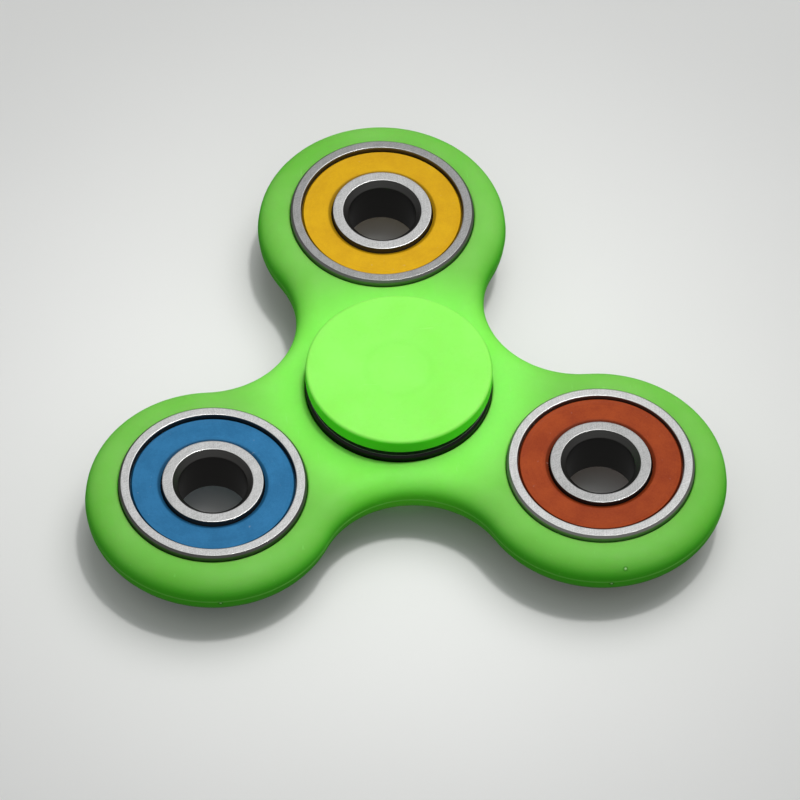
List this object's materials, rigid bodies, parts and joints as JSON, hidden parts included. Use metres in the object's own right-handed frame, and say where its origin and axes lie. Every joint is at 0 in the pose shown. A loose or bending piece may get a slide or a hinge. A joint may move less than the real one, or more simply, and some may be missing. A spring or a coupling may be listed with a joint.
{
  "type": "fidget spinner",
  "caption": "Flat lobed hand spinner: a rounded plastic body turns on its central ball bearing between finger caps, with a sealed ball bearing pressed into the end of each lobe.",
  "frame": {"origin": "centre of the lower finger cap's flat outer face, on the spin axis", "axes": "+Z along the spin axis, from the lower cap to the upper cap; +Y from the spin axis towards the lobe with the yellow bearing; +X to the right of it, towards the lobe with the red bearing"},
  "size_m": [0.0752, 0.0693, 0.0126],
  "materials": {
    "body_plastic": "moulded green plastic with a satin shine and a faint parting line",
    "cap_plastic": "moulded bright green plastic, finely satin",
    "bearing_steel": "ground bearing steel with fine turning marks",
    "ball_steel": "polished bearing steel",
    "cage_nylon": "natural white nylon",
    "centre_seal": "black rubber-coated shield",
    "yellow_seal": "yellow rubber-coated shield, satin",
    "blue_seal": "blue rubber-coated shield, satin",
    "red_seal": "red rubber-coated shield, satin"
  },
  "bodies": {
    "held_centre": {"top_cap": "cap_plastic", "bottom_cap": "cap_plastic", "centre_inner_ring": "bearing_steel"},
    "spinner": {"spinner_body": "body_plastic", "centre_outer_ring": "bearing_steel", "centre_upper_seal": "centre_seal", "centre_lower_seal": "centre_seal", "yellow_outer_ring": "bearing_steel", "yellow_upper_seal": "yellow_seal", "yellow_lower_seal": "yellow_seal", "blue_outer_ring": "bearing_steel", "blue_upper_seal": "blue_seal", "blue_lower_seal": "blue_seal", "red_outer_ring": "bearing_steel", "red_upper_seal": "red_seal", "red_lower_seal": "red_seal"},
    "centre_cage": {"centre_ball_cage": "cage_nylon"},
    "centre_ball_1_body": {"centre_ball_1": "ball_steel"},
    "centre_ball_2_body": {"centre_ball_2": "ball_steel"},
    "centre_ball_3_body": {"centre_ball_3": "ball_steel"},
    "centre_ball_4_body": {"centre_ball_4": "ball_steel"},
    "centre_ball_5_body": {"centre_ball_5": "ball_steel"},
    "centre_ball_6_body": {"centre_ball_6": "ball_steel"},
    "centre_ball_7_body": {"centre_ball_7": "ball_steel"},
    "yellow_cage": {"yellow_ball_cage": "cage_nylon"},
    "yellow_inner": {"yellow_inner_ring": "bearing_steel"},
    "yellow_ball_1_body": {"yellow_ball_1": "ball_steel"},
    "yellow_ball_2_body": {"yellow_ball_2": "ball_steel"},
    "yellow_ball_3_body": {"yellow_ball_3": "ball_steel"},
    "yellow_ball_4_body": {"yellow_ball_4": "ball_steel"},
    "yellow_ball_5_body": {"yellow_ball_5": "ball_steel"},
    "yellow_ball_6_body": {"yellow_ball_6": "ball_steel"},
    "yellow_ball_7_body": {"yellow_ball_7": "ball_steel"},
    "blue_cage": {"blue_ball_cage": "cage_nylon"},
    "blue_inner": {"blue_inner_ring": "bearing_steel"},
    "blue_ball_1_body": {"blue_ball_1": "ball_steel"},
    "blue_ball_2_body": {"blue_ball_2": "ball_steel"},
    "blue_ball_3_body": {"blue_ball_3": "ball_steel"},
    "blue_ball_4_body": {"blue_ball_4": "ball_steel"},
    "blue_ball_5_body": {"blue_ball_5": "ball_steel"},
    "blue_ball_6_body": {"blue_ball_6": "ball_steel"},
    "blue_ball_7_body": {"blue_ball_7": "ball_steel"},
    "red_cage": {"red_ball_cage": "cage_nylon"},
    "red_inner": {"red_inner_ring": "bearing_steel"},
    "red_ball_1_body": {"red_ball_1": "ball_steel"},
    "red_ball_2_body": {"red_ball_2": "ball_steel"},
    "red_ball_3_body": {"red_ball_3": "ball_steel"},
    "red_ball_4_body": {"red_ball_4": "ball_steel"},
    "red_ball_5_body": {"red_ball_5": "ball_steel"},
    "red_ball_6_body": {"red_ball_6": "ball_steel"},
    "red_ball_7_body": {"red_ball_7": "ball_steel"}
  },
  "joints": [
    {"name": "body_spin", "type": "hinge", "parent": "held_centre", "child": "spinner", "pos_m": [0, 0, 0.0063], "axis": [0, 0, 1], "continuous": true},
    {"name": "centre_cage_spin", "type": "hinge", "parent": "held_centre", "child": "centre_cage", "pos_m": [0, 0, 0.0063], "axis": [0, 0, 1], "continuous": true},
    {"name": "centre_ball_1_roll", "type": "hinge", "parent": "centre_cage", "child": "centre_ball_1_body", "pos_m": [0, 0.0075, 0.0063], "axis": [0, 0, 1], "continuous": true},
    {"name": "centre_ball_2_roll", "type": "hinge", "parent": "centre_cage", "child": "centre_ball_2_body", "pos_m": [-0.00586, 0.00468, 0.0063], "axis": [0, 0, 1], "continuous": true},
    {"name": "centre_ball_3_roll", "type": "hinge", "parent": "centre_cage", "child": "centre_ball_3_body", "pos_m": [-0.00731, -0.00167, 0.0063], "axis": [0, 0, 1], "continuous": true},
    {"name": "centre_ball_4_roll", "type": "hinge", "parent": "centre_cage", "child": "centre_ball_4_body", "pos_m": [-0.00325, -0.00676, 0.0063], "axis": [0, 0, 1], "continuous": true},
    {"name": "centre_ball_5_roll", "type": "hinge", "parent": "centre_cage", "child": "centre_ball_5_body", "pos_m": [0.00325, -0.00676, 0.0063], "axis": [0, 0, 1], "continuous": true},
    {"name": "centre_ball_6_roll", "type": "hinge", "parent": "centre_cage", "child": "centre_ball_6_body", "pos_m": [0.00731, -0.00167, 0.0063], "axis": [0, 0, 1], "continuous": true},
    {"name": "centre_ball_7_roll", "type": "hinge", "parent": "centre_cage", "child": "centre_ball_7_body", "pos_m": [0.00586, 0.00468, 0.0063], "axis": [0, 0, 1], "continuous": true},
    {"name": "yellow_inner_spin", "type": "hinge", "parent": "spinner", "child": "yellow_inner", "pos_m": [0, 0.0262, 0.0063], "axis": [0, 0, 1], "continuous": true},
    {"name": "yellow_cage_spin", "type": "hinge", "parent": "spinner", "child": "yellow_cage", "pos_m": [0, 0.0262, 0.0063], "axis": [0, 0, 1], "continuous": true},
    {"name": "yellow_ball_1_roll", "type": "hinge", "parent": "yellow_cage", "child": "yellow_ball_1_body", "pos_m": [0, 0.0337, 0.0063], "axis": [0, 0, 1], "continuous": true},
    {"name": "yellow_ball_2_roll", "type": "hinge", "parent": "yellow_cage", "child": "yellow_ball_2_body", "pos_m": [-0.00586, 0.03088, 0.0063], "axis": [0, 0, 1], "continuous": true},
    {"name": "yellow_ball_3_roll", "type": "hinge", "parent": "yellow_cage", "child": "yellow_ball_3_body", "pos_m": [-0.00731, 0.02453, 0.0063], "axis": [0, 0, 1], "continuous": true},
    {"name": "yellow_ball_4_roll", "type": "hinge", "parent": "yellow_cage", "child": "yellow_ball_4_body", "pos_m": [-0.00325, 0.01944, 0.0063], "axis": [0, 0, 1], "continuous": true},
    {"name": "yellow_ball_5_roll", "type": "hinge", "parent": "yellow_cage", "child": "yellow_ball_5_body", "pos_m": [0.00325, 0.01944, 0.0063], "axis": [0, 0, 1], "continuous": true},
    {"name": "yellow_ball_6_roll", "type": "hinge", "parent": "yellow_cage", "child": "yellow_ball_6_body", "pos_m": [0.00731, 0.02453, 0.0063], "axis": [0, 0, 1], "continuous": true},
    {"name": "yellow_ball_7_roll", "type": "hinge", "parent": "yellow_cage", "child": "yellow_ball_7_body", "pos_m": [0.00586, 0.03088, 0.0063], "axis": [0, 0, 1], "continuous": true},
    {"name": "blue_inner_spin", "type": "hinge", "parent": "spinner", "child": "blue_inner", "pos_m": [-0.02269, -0.0131, 0.0063], "axis": [0, 0, 1], "continuous": true},
    {"name": "blue_cage_spin", "type": "hinge", "parent": "spinner", "child": "blue_cage", "pos_m": [-0.02269, -0.0131, 0.0063], "axis": [0, 0, 1], "continuous": true},
    {"name": "blue_ball_1_roll", "type": "hinge", "parent": "blue_cage", "child": "blue_ball_1_body", "pos_m": [-0.02269, -0.0056, 0.0063], "axis": [0, 0, 1], "continuous": true},
    {"name": "blue_ball_2_roll", "type": "hinge", "parent": "blue_cage", "child": "blue_ball_2_body", "pos_m": [-0.02855, -0.00842, 0.0063], "axis": [0, 0, 1], "continuous": true},
    {"name": "blue_ball_3_roll", "type": "hinge", "parent": "blue_cage", "child": "blue_ball_3_body", "pos_m": [-0.03, -0.01477, 0.0063], "axis": [0, 0, 1], "continuous": true},
    {"name": "blue_ball_4_roll", "type": "hinge", "parent": "blue_cage", "child": "blue_ball_4_body", "pos_m": [-0.02594, -0.01986, 0.0063], "axis": [0, 0, 1], "continuous": true},
    {"name": "blue_ball_5_roll", "type": "hinge", "parent": "blue_cage", "child": "blue_ball_5_body", "pos_m": [-0.01944, -0.01986, 0.0063], "axis": [0, 0, 1], "continuous": true},
    {"name": "blue_ball_6_roll", "type": "hinge", "parent": "blue_cage", "child": "blue_ball_6_body", "pos_m": [-0.01538, -0.01477, 0.0063], "axis": [0, 0, 1], "continuous": true},
    {"name": "blue_ball_7_roll", "type": "hinge", "parent": "blue_cage", "child": "blue_ball_7_body", "pos_m": [-0.01683, -0.00842, 0.0063], "axis": [0, 0, 1], "continuous": true},
    {"name": "red_inner_spin", "type": "hinge", "parent": "spinner", "child": "red_inner", "pos_m": [0.02269, -0.0131, 0.0063], "axis": [0, 0, 1], "continuous": true},
    {"name": "red_cage_spin", "type": "hinge", "parent": "spinner", "child": "red_cage", "pos_m": [0.02269, -0.0131, 0.0063], "axis": [0, 0, 1], "continuous": true},
    {"name": "red_ball_1_roll", "type": "hinge", "parent": "red_cage", "child": "red_ball_1_body", "pos_m": [0.02269, -0.0056, 0.0063], "axis": [0, 0, 1], "continuous": true},
    {"name": "red_ball_2_roll", "type": "hinge", "parent": "red_cage", "child": "red_ball_2_body", "pos_m": [0.01683, -0.00842, 0.0063], "axis": [0, 0, 1], "continuous": true},
    {"name": "red_ball_3_roll", "type": "hinge", "parent": "red_cage", "child": "red_ball_3_body", "pos_m": [0.01538, -0.01477, 0.0063], "axis": [0, 0, 1], "continuous": true},
    {"name": "red_ball_4_roll", "type": "hinge", "parent": "red_cage", "child": "red_ball_4_body", "pos_m": [0.01944, -0.01986, 0.0063], "axis": [0, 0, 1], "continuous": true},
    {"name": "red_ball_5_roll", "type": "hinge", "parent": "red_cage", "child": "red_ball_5_body", "pos_m": [0.02594, -0.01986, 0.0063], "axis": [0, 0, 1], "continuous": true},
    {"name": "red_ball_6_roll", "type": "hinge", "parent": "red_cage", "child": "red_ball_6_body", "pos_m": [0.03, -0.01477, 0.0063], "axis": [0, 0, 1], "continuous": true},
    {"name": "red_ball_7_roll", "type": "hinge", "parent": "red_cage", "child": "red_ball_7_body", "pos_m": [0.02855, -0.00842, 0.0063], "axis": [0, 0, 1], "continuous": true}
  ],
  "couplings": [
    {"joint": "centre_cage_spin", "follows": "body_spin", "ratio": 0.63227},
    {"joint": "centre_ball_1_roll", "follows": "body_spin", "ratio": 1.7578},
    {"joint": "centre_ball_2_roll", "follows": "body_spin", "ratio": 1.7578},
    {"joint": "centre_ball_3_roll", "follows": "body_spin", "ratio": 1.7578},
    {"joint": "centre_ball_4_roll", "follows": "body_spin", "ratio": 1.7578},
    {"joint": "centre_ball_5_roll", "follows": "body_spin", "ratio": 1.7578},
    {"joint": "centre_ball_6_roll", "follows": "body_spin", "ratio": 1.7578},
    {"joint": "centre_ball_7_roll", "follows": "body_spin", "ratio": 1.7578},
    {"joint": "yellow_cage_spin", "follows": "yellow_inner_spin", "ratio": 0.36773},
    {"joint": "yellow_ball_1_roll", "follows": "yellow_inner_spin", "ratio": -1.7578},
    {"joint": "yellow_ball_2_roll", "follows": "yellow_inner_spin", "ratio": -1.7578},
    {"joint": "yellow_ball_3_roll", "follows": "yellow_inner_spin", "ratio": -1.7578},
    {"joint": "yellow_ball_4_roll", "follows": "yellow_inner_spin", "ratio": -1.7578},
    {"joint": "yellow_ball_5_roll", "follows": "yellow_inner_spin", "ratio": -1.7578},
    {"joint": "yellow_ball_6_roll", "follows": "yellow_inner_spin", "ratio": -1.7578},
    {"joint": "yellow_ball_7_roll", "follows": "yellow_inner_spin", "ratio": -1.7578},
    {"joint": "blue_cage_spin", "follows": "blue_inner_spin", "ratio": 0.36773},
    {"joint": "blue_ball_1_roll", "follows": "blue_inner_spin", "ratio": -1.7578},
    {"joint": "blue_ball_2_roll", "follows": "blue_inner_spin", "ratio": -1.7578},
    {"joint": "blue_ball_3_roll", "follows": "blue_inner_spin", "ratio": -1.7578},
    {"joint": "blue_ball_4_roll", "follows": "blue_inner_spin", "ratio": -1.7578},
    {"joint": "blue_ball_5_roll", "follows": "blue_inner_spin", "ratio": -1.7578},
    {"joint": "blue_ball_6_roll", "follows": "blue_inner_spin", "ratio": -1.7578},
    {"joint": "blue_ball_7_roll", "follows": "blue_inner_spin", "ratio": -1.7578},
    {"joint": "red_cage_spin", "follows": "red_inner_spin", "ratio": 0.36773},
    {"joint": "red_ball_1_roll", "follows": "red_inner_spin", "ratio": -1.7578},
    {"joint": "red_ball_2_roll", "follows": "red_inner_spin", "ratio": -1.7578},
    {"joint": "red_ball_3_roll", "follows": "red_inner_spin", "ratio": -1.7578},
    {"joint": "red_ball_4_roll", "follows": "red_inner_spin", "ratio": -1.7578},
    {"joint": "red_ball_5_roll", "follows": "red_inner_spin", "ratio": -1.7578},
    {"joint": "red_ball_6_roll", "follows": "red_inner_spin", "ratio": -1.7578},
    {"joint": "red_ball_7_roll", "follows": "red_inner_spin", "ratio": -1.7578}
  ]
}
